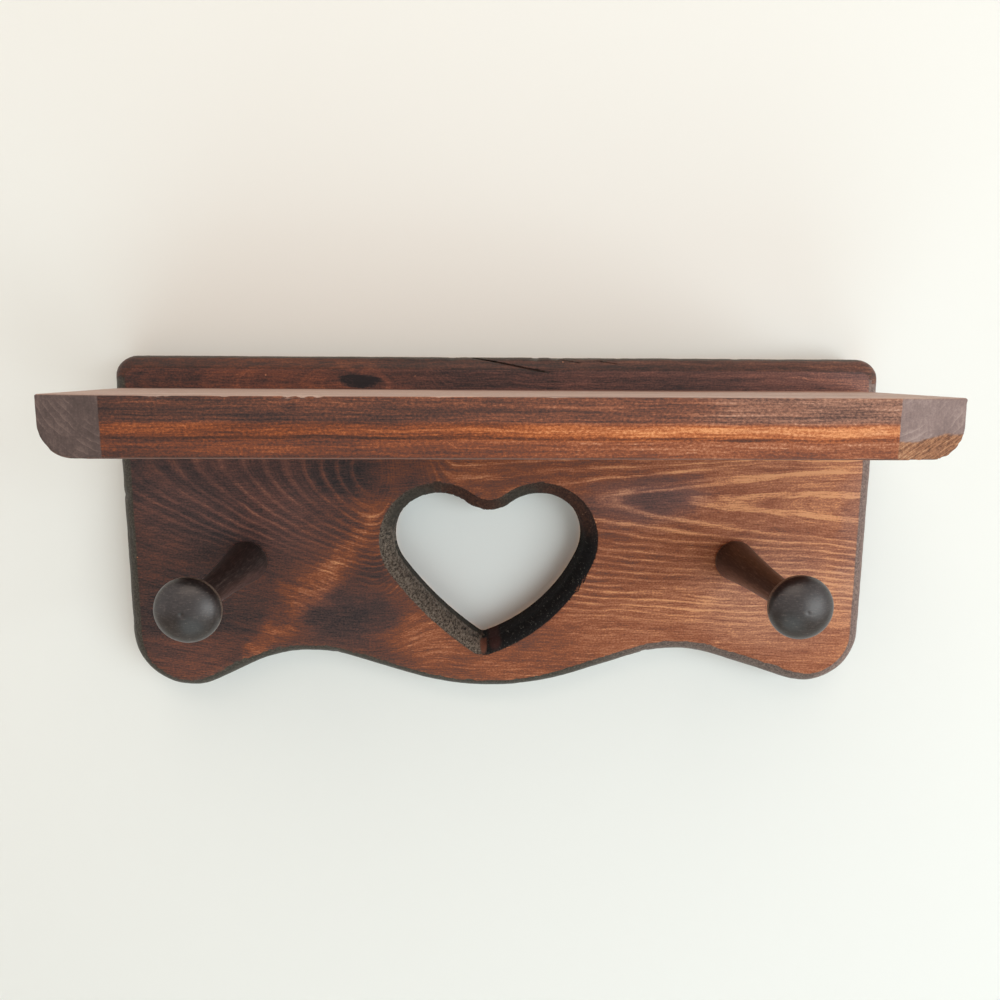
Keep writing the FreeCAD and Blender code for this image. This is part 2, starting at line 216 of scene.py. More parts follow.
boardFinish = {  # places are x and z in millimetres
    "depth": 18,
    "depthLean": 0.35,  # how the rings lean as they go through the board
    "drift": 2.6,  # how far the grain wanders in long and in short waves
    "ripple": 0.8,
    "knot": (-54, -8),  # beside the heart
    "knotSpread": 6.6,  # how the rings stretch along the board
    "knotLean": 0.11,
    "knotCount": (0.22, 0.0027),  # rings in a mm at the knot, and how fast they close up
    "knotHeart": 8,  # from here outwards they close up
    "stripKnot": (-62.5, 27.5),  # the small one that shows above the shelf
    "stripKnotSpread": 2.97,
    "stripRingStep": 2.1,
    "stripBlot": (-57, 28.3, 8.5, 3.4),
    "stripSwirl": (-66, 23, 20, 13),
    "stripLow": 19,  # the strip above the shelf starts here
    "turn": (-52, -18),  # left of this the rings follow the knot, right of it the arches
    "archLine": (75.4, -20.9, -0.032),  # the middle line of the arches on the right: x, z, slope
    "archOpening": 2.3,
    "archEnd": 150,
    "archStep": 2.65,
    "flameOpening": 0.716,  # the pale tongue inside the arches
    "flameFull": (116, 96),  # filled to here, two arms beyond
    "paler": (0.0022, 0.485),  # how much paler per mm to the right, and the middle's tone
    "ringShade": (0.27, 0.34),  # how pale the rings are, left and right
    "bandShade": (0.12, 0.36),
    "cloudShade": 0.26,
    "fibreShade": 0.28,
    "hairShade": 0.42,
    "speckleShade": 0.38,
    "soften": (0.84, -0.3),  # paler than this is held back by this share
    "streaks": [  # x and z of both ends, half widths there, strength
        (44, -18.6, 146, -7.2, 0.5, 1.9, 0.30), (40, -10.9, 112, -4.6, 0.5, 0.8, 0.16),
    ],
    "tones": [  # from the darkest stain to the barest wood
        (0.00, (36, 28, 29)), (0.14, (58, 44, 42)), (0.24, (76, 51, 46)), (0.34, (92, 57, 48)),
        (0.46, (110, 64, 48)), (0.58, (130, 71, 45)), (0.70, (152, 86, 54)), (0.82, (168, 105, 76)),
        (0.92, (200, 130, 86)), (1.00, (220, 154, 108)),
    ],
    "coolTones": [
        (0.00, (38, 32, 35)), (0.24, (76, 57, 55)), (0.46, (108, 75, 70)), (0.62, (132, 92, 84)),
        (0.78, (170, 119, 97)), (1.00, (212, 158, 128)),
    ],
    "coolMarks": [  # where the stain dried greyer, laid out like the marks below
        (60, -21, 36, 15, -3, 0.65), (152, -30, 12, 60, 0, 0.5), (118, -62, 46, 34, 0, 0.4),
        (-112, -20, 62, 44, 0, 0.65), (-66, -69, 24, 18, 0, 0.35), (-134, -88, 30, 14, 0, 0.2),
    ],
    "flecks": [  # bare specks: x, z, size
        (-94.5, 30.4, 0.55), (-35.1, 30.3, 0.45), (24.5, 36.2, 0.6), (-150, -44, 0.5), (39.3, -29.4, 0.5),
    ],
    "daubs": [  # bare bands: x and z of both ends, half heights there, strength
        (-52, -32, -72, -50, 8, 9, 0.17), (-66, -47, -88, -66, 9, 11, 0.24),
        (-84, -60, -107, -90, 12, 13, 0.24), (-36, -20, -8, -16, 2, 2.5, 0.16),
        (-44, 0.5, -14, -3, 1.6, 1.2, 0.14), (-30, -8, 10, -12, 1.4, 2, 0.12),
    ],
    "marks": [  # x, z, half length, half height, tilt, strength
        (-140, -40, 26, 40, 0, 0.09), (-134, -88, 34, 16, 0, 0.16), (-62, -9, 22, 13, 0, -0.24),
        (-64, -68, 24, 18, -8, -0.17), (-50, -50, 12, 9, 0, -0.16), (-84, -22, 22, 20, 0, -0.04),
        (-56, -25, 9, 16, -20, 0.13), (-31, -79, 22, 18, 0, 0.27), (-120, -98, 24, 9, 0, 0.10),
        (-36, -22, 12, 24, 0, -0.16), (-8, -95, 44, 12, 0, 0.14),
        (50, -80, 36, 16, 0, 0.12), (70, -66, 42, 14, 0, 0.12), (64, -19, 44, 16, -3, -0.17),
        (150, -30, 14, 40, 0, -0.12), (132, -16, 26, 12, 0, 0.06), (110, -70, 50, 14, 0, 0.13),
    ],
}
heartZone = (-54, 48, -89, -6)  # x and z limits of the cut-out, for its wood and for its rasped wall
heartSlope = 0.45  # how its lower limit rises to both sides


def roundKnot(tree, x, across, knot, spread, lean=0.0):
    # rings that close round a knot and run out along the board, rising to the left by the lean
    away = minus(tree, x, knot[0])
    roundEnd = 36.0  # keeps the rings round close to the knot
    stretched = times(tree, calc(tree, "POWER", weighted(tree, away, away, roundEnd), 0.215), spread)
    above = weighted(tree, calc(tree, "MINIMUM", away, 0.0), lean, minus(tree, across, knot[1]))
    return calc(tree, "SQRT", weighted(tree, stretched, stretched, times(tree, above, above)))


def streak(tree, x, across, mark):
    # a bare line along the grain: it widens from one end to the other
    startX, startZ, endX, endZ, thin, thick, strength = mark
    run = calc(tree, "DIVIDE", minus(tree, x, startX), endX - startX)
    middle = weighted(tree, run, endZ - startZ, startZ)
    width = weighted(tree, run, thick - thin, thin)
    inside = times(tree, fade(tree, run, -0.12, 0.18), fade(tree, run, 1.06, 0.94))
    fromMiddle = calc(tree, "DIVIDE", apart(tree, across, middle), width)
    return times(tree, fade(tree, fromMiddle, 1.25, 0.35), inside, strength)


def boardRings(tree, place, across, inStrip, finish):
    # the year rings: their count outwards, the lines they show, and the pale tongue in the arches
    x, _, z = split(tree, place)
    knotRing = roundKnot(tree, x, across, finish["knot"], finish["knotSpread"], finish["knotLean"])
    stripRing = roundKnot(tree, x, across, finish["stripKnot"], finish["stripKnotSpread"])
    # arches that open to the right
    archX, archZ, slope = finish["archLine"]
    fromTip = minus(tree, x, archX)
    off = minus(tree, across, weighted(tree, fromTip, slope, archZ))
    toEnd = calc(tree, "MAXIMUM", minus(tree, finish["archEnd"], x), 0.0)
    archRing = calc(tree, "SQRT", weighted(tree, off, off, times(tree, toEnd, finish["archOpening"])))
    toRight = fade(tree, x, *finish["turn"])
    # below the knot both kinds of ring meet, and neither shows
    seam = times(tree, fade(tree, x, -56.0, -46.0), fade(tree, x, -22.0, -34.0), fade(tree, z, -28.0, -14.0))
    closing = minus(tree, knotRing, finish["knotHeart"])
    sparse, dense = finish["knotCount"]
    knotCount = total(tree, times(tree, knotRing, sparse), times(tree, closing, closing, dense))
    archCount = weighted(tree, archRing, 1 / finish["archStep"], 7.2)
    rings = blendValue(tree, toRight, knotCount, archCount)
    nearStrip = times(tree, inStrip, fade(tree, x, -30.0, -44.0))
    rings = blendValue(tree, nearStrip, rings, calc(tree, "DIVIDE", stripRing, finish["stripRingStep"]))
    lateWood = rampOf(tree, calc(tree, "FRACT", rings), [
        (0.0, 1.0), (0.14, 0.62), (0.30, 0.06), (0.68, 0.0), (0.88, 0.3), (1.0, 1.0)], "EASE")
    # the rings show on the left and right, and die away towards the foot and in the strip
    ringLeft = times(tree, fade(tree, knotRing, 62.0, 46.0), fade(tree, knotRing, 13.0, 20.0, 0.35, 1.0))
    ringRight = times(tree, fade(tree, across, -76.0, -62.0, 0.12, 1.0),
                      fade(tree, archRing, 12.5, 16.0, 0.2, 1.0))
    ringShow = times(tree, blendValue(tree, toRight, ringLeft, ringRight), weighted(tree, inStrip, -0.8, 1.0))
    patch = fade(tree, noise(tree, place, (34, 34, 9), 2.0), 0.30, 0.62, 0.35, 1.15)
    lines = times(tree, lateWood, ringShow, patch, weighted(tree, seam, -0.85, 1.0))
    widening = calc(tree, "SQRT", calc(tree, "MAXIMUM", fromTip, 0.0))
    flameEdge = total(tree, calc(tree, "ABSOLUTE", off), times(tree, widening, -finish["flameOpening"]))
    arms = fade(tree, apart(tree, flameEdge, -0.9), 1.5, 0.9)
    full = times(tree, fade(tree, flameEdge, 0.6, -0.5), fade(tree, x, *finish["flameFull"]))
    flame = times(tree, calc(tree, "MAXIMUM", arms, full), fade(tree, x, archX - 1, archX + 6),
                  minus(tree, 1.0, inStrip))
    return rings, lines, flame, toRight


def boardTone(tree, place, finish):
    x, y, z = split(tree, place)
    # nothing runs ruler straight in this board
    drift = centred(tree, noise(tree, place, (46, 60, 22), 2.0), finish["drift"])
    ripple = centred(tree, noise(tree, place, (13, 30, 5), 3.0, 0.55), finish["ripple"])
    lean = weighted(tree, y, finish["depthLean"], finish["depth"] * finish["depthLean"])
    across = total(tree, z, drift, ripple, lean)
    inStrip = times(tree, fade(tree, z, finish["stripLow"] - 1, finish["stripLow"] + 1),
                    calc(tree, "LESS_THAN", y, -finish["depth"] / 2))
    rings, lines, flame, toRight = boardRings(tree, place, across, inStrip, finish)
    # fibres follow the rings on the left and the length of the board elsewhere
    follow = joined(tree, times(tree, x, 0.05), times(tree, y, 0.2), times(tree, rings, 3.6))
    fibre = noise(tree, follow, (1, 1, 1), 5.0, 0.68)
    laid = joined(tree, x, y, across)
    hair = noise(tree, laid, (7.0, 2.0, 0.5), 4.0, 0.66)
    band = noise(tree, laid, (60.0, 12.0, 1.9), 3.0, 0.6)
    speckle = noise(tree, place, (0.9, 0.9, 0.6), 2.0, 0.7)
    # stain that took unevenly
    flatX = total(tree, x, centred(tree, noise(tree, place, (14, 14, 9), 4.0), 10.0))
    flatZ = total(tree, across, centred(tree, noise(tree, place, (11, 9, 3), 4.0), 5.0))
    flat = joined(tree, flatX, 0.0, flatZ)
    cloud = noise(tree, flat, (50, 30, 15), 4.0, 0.62)
    taken = addSpots(tree, flat, finish["marks"], 0.25, 0.0)
    bared = 0.0
    for daub in finish["daubs"]:
        bared = calc(tree, "MAXIMUM", streak(tree, flatX, flatZ, daub), bared)
    patchy = fade(tree, noise(tree, flat, (11, 11, 7), 3.0, 0.6), 0.34, 0.60, 0.35, 1.25)
    taken = weighted(tree, bared, patchy, taken)
    threaded = fade(tree, fibre, 0.32, 0.62, 0.65, 1.25)
    tone = weighted(tree, taken, threaded, weighted(tree, x, *finish["paler"]))
    # the strip above the shelf is darker, with a knot and an orange swirl over it
    blotX, blotZ, blotLong, blotHigh = finish["stripBlot"]
    blot = spot(tree, flat, (blotX, blotZ), (blotLong, blotHigh), 0.0, 0.55)
    swirl = times(tree, hoop(tree, flat, finish["stripSwirl"]), fade(tree, x, -70.0, -64.0))
    strip = total(tree, fade(tree, x, -90.0, -10.0, 0.13, -0.22), fade(tree, x, 20.0, 120.0, 0.0, -0.05),
                  times(tree, blot, -0.45), times(tree, swirl, 0.16))
    tone = weighted(tree, strip, inStrip, tone)
    for mark in finish["streaks"]:
        tone = calc(tree, "ADD", tone, streak(tree, x, across, mark))
    ringStrength = blendValue(tree, toRight, *finish["ringShade"])
    flameStrength = fade(tree, hair, 0.35, 0.6, 0.2, 0.34)
    bandStrength = weighted(tree, inStrip, 0.3, blendValue(tree, toRight, *finish["bandShade"]))
    tone = total(tree, tone, centred(tree, cloud, finish["cloudShade"]),
                 times(tree, lines, ringStrength), times(tree, flame, flameStrength),
                 times(tree, minus(tree, band, 0.5), bandStrength),
                 centred(tree, fibre, finish["fibreShade"]), centred(tree, hair, finish["hairShade"]),
                 centred(tree, speckle, finish["speckleShade"]))
    for fleckX, fleckZ, size in finish["flecks"]:
        tone = calc(tree, "ADD", tone, times(tree, spot(tree, place, (fleckX, fleckZ), (size, size)), 0.7))
    limit, share = finish["soften"]
    tone = weighted(tree, calc(tree, "MAXIMUM", minus(tree, tone, limit), 0.0), share, tone)
    cool = times(tree, inStrip, fade(tree, x, -75.0, -5.0, 0.35, 0.85))
    cool = addSpots(tree, flat, finish["coolMarks"], 0.3, cool)
    return tone, calc(tree, "MINIMUM", cool, 1.0), hair, lines


def hoop(tree, place, mark):
    # the same oval as a spot, but only its rim
    reach = ovalReach(tree, place, mark[:2], mark[2:], 0.0, 1.0)
    return fade(tree, apart(tree, reach, 1.0), 0.16, 0.04)


def heartColour(tree, place, facing):
    # the heart's wall: rasped pale on the lower left, smooth above it, burnt dark on the right; the lower
    # left faces the lamp and the right wall lies in shade, so its pale and its dark are partly painted light
    # and painted shade
    y = split(tree, place)[1]
    sideways, _, upwards = facing
    dug = noise(tree, place, (0.8, 3.6, 0.8), 4.0, 0.7)
    # painted light: the rasped wall is painted paler towards the back, where less light reaches it
    rasped = shades(tree, total(tree, dug, fade(tree, y, -13.0, -3.0, 0.0, 0.09)), [
        (0.36, (38, 33, 29)), (0.46, (84, 73, 65)), (0.56, (118, 104, 93)), (0.7, (146, 131, 118))])
    smooth = shades(tree, dug, [(0.3, (46, 42, 38)), (0.7, (76, 69, 62))])
    # the right wall's near black is partly burnt wood and partly painted shade
    burntAndPaintedShade = shades(tree, dug, [(0.3, (14, 13, 14)), (0.6, (31, 28, 28)), (0.72, (112, 110, 102))])
    freckled = shades(tree, dug, [
        (0.3, (36, 24, 22)), (0.5, (66, 43, 36)), (0.66, (88, 56, 43)), (0.76, (150, 126, 108))])
    fromAbove = fade(tree, upwards, 0.10, -0.35)
    leftWall = blend(tree, fromAbove, rasped, smooth)
    rightWall = blend(tree, fromAbove, burntAndPaintedShade, freckled)
    wall = blend(tree, fade(tree, sideways, -0.15, 0.20), rightWall, leftWall)
    notch = times(tree, spot(tree, place, (-7.0, -24.0), (16.0, 10.0)), fromAbove)
    wall = blend(tree, notch, wall, freckled)
    # painted shade: a dark line deep in the left wall, where its back arris lies in shadow, and dark where it
    # meets the room's wall
    paintedBackShade = times(tree, fade(tree, y, -7.6, -5.4, 0.0, 0.85), fade(tree, upwards, 0.0, 0.3))
    wall = blend(tree, times(tree, paintedBackShade, fade(tree, sideways, 0.0, 0.2)), wall, stain(44, 43, 38))
    wall = blend(tree, fade(tree, y, -1.6, -0.4, 0.0, 0.7), wall, stain(30, 29, 27))
    # red-brown wood shows at the point
    sliver = times(tree, spot(tree, place, (-7.4, -82.8), (1.9, 4.6), 0.0, 0.5), fade(tree, y, -9.0, -12.0))
    reddish = times(tree, spot(tree, place, (-2.6, -81.4), (3.6, 4.4), 0.0, 0.4), 0.6)
    wall = blend(tree, reddish, wall, stain(78, 46, 42))
    return blend(tree, sliver, wall, stain(112, 70, 56))


def boardMaterial(finish):
    material, tree, shader, place, facing = startMaterial("stainedBoard")
    x, _, z = split(tree, place)
    sideways, outwards, upwards = facing
    tone, cool, hair, lines = boardTone(tree, place, finish)
    wood = shades(tree, tone, finish["tones"])
    wood = blend(tree, cool, wood, shades(tree, tone, finish["coolTones"]))
    grit = noise(tree, place, (0.8, 0.8, 0.8), 4.0, 0.7)
    # the rounded-over edge drank more stain: olive on the left, dusty on the right, near black below; on the
    # right end, where the edge faces the lamp, the dusty colour is partly painted sheen
    rim = shades(tree, grit, [
        (0.32, (40, 37, 33)), (0.5, (62, 57, 50)), (0.64, (84, 77, 68)), (0.76, (132, 120, 104))])
    dusty = shades(tree, grit, [(0.32, (84, 70, 66)), (0.48, (120, 98, 92)), (0.62, (148, 126, 117))])
    # painted sheen: the edge facing right at the right end is painted paler, part dust and part sheen
    rightEdgeDustAndSheen = times(tree, fade(tree, sideways, 0.02, 0.2), fade(tree, x, 120.0, 146.0))
    lowEdge = times(tree, fade(tree, upwards, -0.05, -0.3), fade(tree, x, 25.0, 70.0), 0.55)
    rim = blend(tree, rightEdgeDustAndSheen, rim, dusty)
    rim = blend(tree, lowEdge, rim, dusty)
    shaded = blend(tree, 1.0, wood, stain(205, 200, 190), "MULTIPLY")
    topEdge = times(tree, fade(tree, upwards, 0.01, 0.06), calc(tree, "GREATER_THAN", z, 28.0))
    rim = blend(tree, times(tree, topEdge, fade(tree, upwards, 0.97, 0.80)), rim, shaded)
    leftX, rightX, lowZ, highZ = heartZone
    lowest = weighted(tree, apart(tree, x, -7.5), heartSlope, lowZ + 0.5)
    inHeart = times(tree, within(tree, x, leftX, rightX), calc(tree, "GREATER_THAN", z, lowest),
                    calc(tree, "LESS_THAN", z, highZ))
    rim = blend(tree, inHeart, rim, heartColour(tree, place, facing))
    # the level front shows its wood, and the edge below it starts a little sooner
    below = times(tree, calc(tree, "MAXIMUM", times(tree, upwards, -1.0), 0.0), minus(tree, 1.0, inHeart))
    level = weighted(tree, below, fade(tree, x, -10.0, 50.0, 0.22, 0.10), calc(tree, "ABSOLUTE", outwards))
    face = fade(tree, level, 0.985, 0.997)
    colour = blend(tree, face, rim, wood)
    # the back never saw much stain
    bare = shades(tree, total(tree, times(tree, tone, 0.5), times(tree, hair, 0.5)), [
        (0.1, (112, 76, 52)), (0.35, (158, 116, 80)), (0.7, (190, 150, 108))])
    colour = blend(tree, fade(tree, outwards, 0.93, 0.99), colour, bare)
    dull = times(tree, inHeart, minus(tree, 1.0, face), 0.45)
    shader.inputs["Specular IOR Level"].default_value = 0.22
    coat(tree, shader, colour, total(tree, weighted(tree, hair, 0.2, 0.38), dull),
         total(tree, hair, times(tree, lines, 0.5), times(tree, grit, 0.6)), 0.16, 0.7)
    return material


# Stained pine of the shelf

shelfFinish = {  # millimetres
    "leftArris": -115.2,  # where the front turns to the end
    "rightArris": 110.8,
    "front": -112,  # y, just behind the front edge
    "foot": 7,
    "top": 25,
    "ringPlace": (104, 40),  # the end grain's rings close in round this x and z
    "ringDepth": -62,  # and round this y on the sawn ends
    "tornHeight": 12.1,  # below this the right end broke out as it was sawn
    "paler": (0.0017, 0.44),  # how much paler per mm to the right, and the middle's tone
    "hairShade": 0.40,
    "streakShade": 0.27,
    "cloudShade": 0.24,
    "speckleShade": 0.56,
    "bands": [  # up the front edge: share of the height, and how much lighter
        (0, 0.02), (0.05, 0.12), (0.14, 0.17), (0.22, 0.13), (0.245, -0.08), (0.285, -0.10), (0.32, 0.12),
        (0.44, 0.21), (0.54, 0.15), (0.58, 0.06), (0.64, 0.08), (0.67, -0.06), (0.72, 0.04), (0.78, -0.09),
        (0.82, 0.02), (0.88, -0.06), (0.93, 0.02), (1, -0.04)],
    "tones": [
        (0.00, (40, 28, 27)), (0.20, (66, 43, 38)), (0.36, (92, 54, 42)), (0.50, (114, 62, 42)),
        (0.62, (136, 73, 44)), (0.74, (158, 92, 60)), (0.87, (178, 116, 84)), (1.00, (212, 158, 126))],
    "greyTones": [
        (0.00, (44, 35, 35)), (0.36, (84, 58, 50)), (0.50, (120, 84, 71)), (0.74, (170, 124, 103)),
        (1.00, (210, 170, 150))],
    "orangeTones": [
        (0.00, (54, 28, 16)), (0.36, (100, 50, 26)), (0.50, (132, 66, 32)), (0.74, (186, 104, 56)),
        (1.00, (232, 158, 104))],
    "marks": [  # dark blots and bare flecks on the front edge
        (-61.9, 22, 5, 1.2, 0, -0.16), (66.7, 12.6, 11, 0.7, 0, -0.30), (95, 20.6, 13, 2.6, 0, -0.10),
        (104, 15.4, 6.5, 2, 0, 0.13), (70, 22, 34, 2.2, 0, 0.08), (-17.5, 11.2, 3.6, 0.3, 35, 0.14),
        (-4, 13.5, 6, 0.3, 0, 0.12), (40, 16, 70, 2.2, 0, 0.10), (90, 15, 26, 2.4, 0, 0.08),
        (20, 20.5, 9, 1.6, 0, -0.08), (-103, 15.6, 14, 2.6, 0, 0.06),
    ],
}


def shelfWoodColour(tree, place, finish):
    # the long grain of the front, the top and the underside
    x, y, z = split(tree, place)
    meander = centred(tree, noise(tree, place, (75, 40, 60), 2.0), 1.6)
    quiver = centred(tree, noise(tree, place, (12, 20, 6), 2.0), 0.5)
    rise = total(tree, z, meander, quiver)
    # the ramp holds no negative lift, so it's raised by a half and lowered again
    raised = [(share, lift + 0.5) for share, lift in finish["bands"]]
    bands = minus(tree, rampOf(tree, fade(tree, rise, finish["foot"], finish["top"]), raised), 0.5)
    laid = joined(tree, x, y, rise)
    hair = noise(tree, laid, (12.0, 2.5, 0.45), 4.0, 0.66)
    streaks = noise(tree, laid, (70.0, 6.0, 1.0), 3.0, 0.55)
    speckle = noise(tree, place, (1.0, 1.0, 0.6), 3.0, 0.75)
    cloud = noise(tree, place, (34, 20, 7), 4.0, 0.62)
    tone = total(tree, bands, weighted(tree, x, *finish["paler"]), centred(tree, hair, finish["hairShade"]),
                 centred(tree, streaks, finish["streakShade"]), centred(tree, cloud, finish["cloudShade"]),
                 centred(tree, speckle, finish["speckleShade"]))
    inFront = calc(tree, "LESS_THAN", y, finish["front"] + 2)
    tone = weighted(tree, addSpots(tree, place, finish["marks"], 0.2, 0.0), inFront, tone)
    wood = shades(tree, tone, finish["tones"])
    toRight = fade(tree, total(tree, x, centred(tree, cloud, 60.0)), 30.0, 96.0, 0.25, 0.9)
    greyShare = times(tree, fade(tree, rise, 16.0, 19.0), toRight)
    wood = blend(tree, greyShare, wood, shades(tree, tone, finish["greyTones"]))
    orangeShare = times(tree, fade(tree, rise, 12.0, 13.0), fade(tree, rise, 18.0, 16.6),
                        fade(tree, cloud, 0.3, 0.6, 0.4, 0.9), fade(tree, x, -112.0, -50.0, 0.4, 1.0))
    wood = blend(tree, orangeShare, wood, shades(tree, tone, finish["orangeTones"]))
    return wood, hair, streaks


def endGrain(tree, place, sideways, grit, smudge, finish):
    # the year rings curve over the sawn ends
    x, y, z = split(tree, place)
    aside = minus(tree, calc(tree, "ABSOLUTE", x), finish["ringPlace"][0])
    height = minus(tree, z, finish["ringPlace"][1])
    heightSquared = times(tree, height, height)
    onCorner = calc(tree, "SQRT", weighted(tree, aside, aside, heightSquared))
    inwards = minus(tree, y, finish["ringDepth"])
    onEnd = calc(tree, "SQRT", weighted(tree, inwards, times(tree, inwards, 0.25), heightSquared))
    ring = blendValue(tree, fade(tree, calc(tree, "ABSOLUTE", sideways), 0.4, 0.7), onCorner, onEnd)
    wavy = total(tree, times(tree, ring, 0.48), centred(tree, noise(tree, place, (7, 7, 7), 3.0), 0.6))
    ringLines = rampOf(tree, calc(tree, "FRACT", wavy), [
        (0.0, 0.0), (0.4, 0.1), (0.8, 0.5), (0.92, 1.0), (1.0, 0.0)])
    ringLines = times(tree, ringLines, fade(tree, noise(tree, place, (9, 9, 9), 2.0), 0.42, 0.6))
    scratch = noise(tree, place, (0.9, 0.9, 5.0), 3.0, 0.6)
    tone = total(tree, times(tree, ringLines, 0.16), times(tree, grit, 0.45), times(tree, scratch, 0.2),
                 times(tree, smudge, 0.35))
    greyLeft = shades(tree, tone, [(0.3, (66, 55, 52)), (0.5, (88, 73, 70)), (0.68, (116, 97, 92))])
    greyRight = shades(tree, tone, [(0.3, (104, 86, 84)), (0.5, (136, 114, 110)), (0.68, (164, 142, 136))])
    grey = blend(tree, calc(tree, "GREATER_THAN", x, 0.0), greyLeft, greyRight)
    # fibres broken out low on the right end
    leaning = joined(tree, total(tree, x, times(tree, z, -1.6)), y, total(tree, z, times(tree, x, 0.5)))
    splinter = noise(tree, leaning, (0.9, 3.0, 4.5), 4.0, 0.7)
    torn = shades(tree, total(tree, times(tree, grit, 0.4), times(tree, splinter, 0.6)), [
        (0.36, (58, 36, 26)), (0.46, (122, 76, 50)), (0.56, (172, 120, 86)), (0.68, (204, 166, 130))])
    climb = times(tree, minus(tree, x, 111.0), -0.114)
    tornEdge = total(tree, z, climb, centred(tree, smudge, 1.6))
    tornZone = times(tree, fade(tree, tornEdge, finish["tornHeight"] + 0.5, finish["tornHeight"] - 0.5),
                     calc(tree, "GREATER_THAN", x, 100.0))
    return blend(tree, tornZone, grey, torn)


def shelfMaterial(finish):
    material, tree, shader, place, facing = startMaterial("stainedShelf")
    x, y, _ = split(tree, place)
    sideways, _, upwards = facing
    wood, hair, streaks = shelfWoodColour(tree, place, finish)
    grit = noise(tree, place, (0.7, 0.7, 0.7), 5.0, 0.75)
    smudge = noise(tree, place, (8, 8, 6), 3.0, 0.6)
    raggedX = total(tree, x, centred(tree, noise(tree, place, (3, 3, 1.2), 3.0), 0.25))
    left, right = finish["leftArris"], finish["rightArris"]
    ends = calc(tree, "MAXIMUM", fade(tree, raggedX, left + 0.2, left - 0.2),
                fade(tree, raggedX, right - 0.2, right + 0.2))
    ends = times(tree, ends, fade(tree, calc(tree, "ABSOLUTE", upwards), 0.998, 0.95))
    colour = blend(tree, ends, wood, endGrain(tree, place, sideways, grit, smudge, finish))
    # pale on top: dust and wear, and painted sheen where the top faces up
    dustAndSheen = shades(tree, total(tree, times(tree, grit, 0.4), times(tree, streaks, 0.6)), [
        (0.3, (138, 112, 102)), (0.5, (172, 144, 132)), (0.7, (198, 172, 158))])
    # painted shade: the top is darker along the joint where the shelf meets the board, more so to the right
    fromBoard = total(tree, y, centred(tree, smudge, 7.0), centred(tree, streaks, 16.0),
                      fade(tree, x, -130.0, 60.0, -17.0, 10.0))
    jointShade = times(tree, fade(tree, fromBoard, -42.0, -24.0), 0.85)
    dustAndSheen = blend(tree, jointShade, dustAndSheen, wood)
    colour = blend(tree, fade(tree, upwards, 0.55, 0.85), colour, dustAndSheen)
    # the lower front arris is rubbed pale
    worn = times(tree, fade(tree, upwards, -0.25, -0.6), fade(tree, upwards, -0.98, -0.9),
                 calc(tree, "LESS_THAN", y, finish["front"]), 0.7)
    colour = blend(tree, worn, colour, stain(128, 100, 90))
    shader.inputs["Specular IOR Level"].default_value = 0.25
    coat(tree, shader, colour, weighted(tree, hair, 0.2, 0.45),
         total(tree, hair, times(tree, grit, 0.6)), 0.16, 0.7)
    return material


# Turned pegs

pegFinish = {  # y in millimetres
    "knobFrom": (-76, -82),  # the stem's grain turns into the knob's
    "widest": -85.3,  # of the knob, where the painted rim highlight runs
    "foot": -18.9,  # where the stem meets the board
}


def pegMaterial(finish):
    material, tree, shader, place, facing = startMaterial("darkPeg")
    y = split(tree, place)[1]
    hair = noise(tree, place, (0.45, 7.0, 0.45), 4.0, 0.68)
    grit = noise(tree, place, (0.7, 0.9, 0.7), 3.0, 0.7)
    # end grain shows on the knob as rows of short dashes
    dash = noise(tree, place, (2.2, 2.0, 0.35), 3.0, 0.7)
    knob = fade(tree, y, *finish["knobFrom"])
    pattern = blendValue(tree, knob, total(tree, times(tree, hair, 0.65), times(tree, grit, 0.35), 0.035),
                         total(tree, times(tree, dash, 0.55), times(tree, grit, 0.45), -0.03))
    colour = shades(tree, pattern, [
        (0.34, (11, 10, 10)), (0.48, (27, 24, 25)), (0.57, (54, 48, 47)), (0.69, (112, 96, 88))])
    # painted highlights: a pale line round the knob's widest part stands for the reflection at its rim, and
    # another where the stem meets the board stands for the highlight on its shoulder
    ringPart = fade(tree, apart(tree, y, finish["widest"]), 1.3, 0.5)
    footPart = fade(tree, apart(tree, y, finish["foot"]), 0.5, 0.15)
    paintedRimHighlight = times(tree, calc(tree, "MAXIMUM", ringPart, footPart), fade(tree, grit, 0.42, 0.56, 0.25, 0.9))
    colour = blend(tree, paintedRimHighlight, colour, stain(138, 122, 110))
    # painted light: the undersides of the stems are painted red-brown, as light from below would show them
    paintedUnderLight = times(tree, fade(tree, facing[2], 0.35, -0.5), minus(tree, 1.0, knob),
                   fade(tree, hair, 0.35, 0.6), 0.75)
    colour = blend(tree, paintedUnderLight, colour, stain(100, 72, 68))
    shader.inputs["Specular IOR Level"].default_value = 0.70
    shader.inputs["Specular Tint"].default_value = (1.0, 0.88, 0.84, 1.0)
    coat(tree, shader, colour, weighted(tree, grit, 0.30, 0.22), pattern, 0.12, 0.6)
    return material


# Steel of the hangers and screws

steels = {  # shade and roughness
    "zincPlate": ((178, 180, 178), 0.35),
    "zincScrew": ((165, 162, 150), 0.3),
}


def steelMaterial(name):
    material, tree, shader, place, _ = startMaterial(name)
    shade, roughness = steels[name]
    brushed = noise(tree, place, (0.4, 0.4, 6.0), 3.0)
    smear = noise(tree, place, (4, 4, 4), 2.0)
    darker = tuple(part * 0.8 for part in shade)
    shader.inputs["Metallic"].default_value = 1.0
    coat(tree, shader, blend(tree, smear, stain(*shade), stain(*darker)),
         weighted(tree, smear, 0.2, roughness), brushed, 0.05, 0.3)
    return material


boardWood = boardMaterial(boardFinish)
shelfWood = shelfMaterial(shelfFinish)
pegWood = pegMaterial(pegFinish)
plateSteel = steelMaterial("zincPlate")
screwSteel = steelMaterial("zincScrew")
print("materials made")


# Mesh helpers: millimetres in, metres out

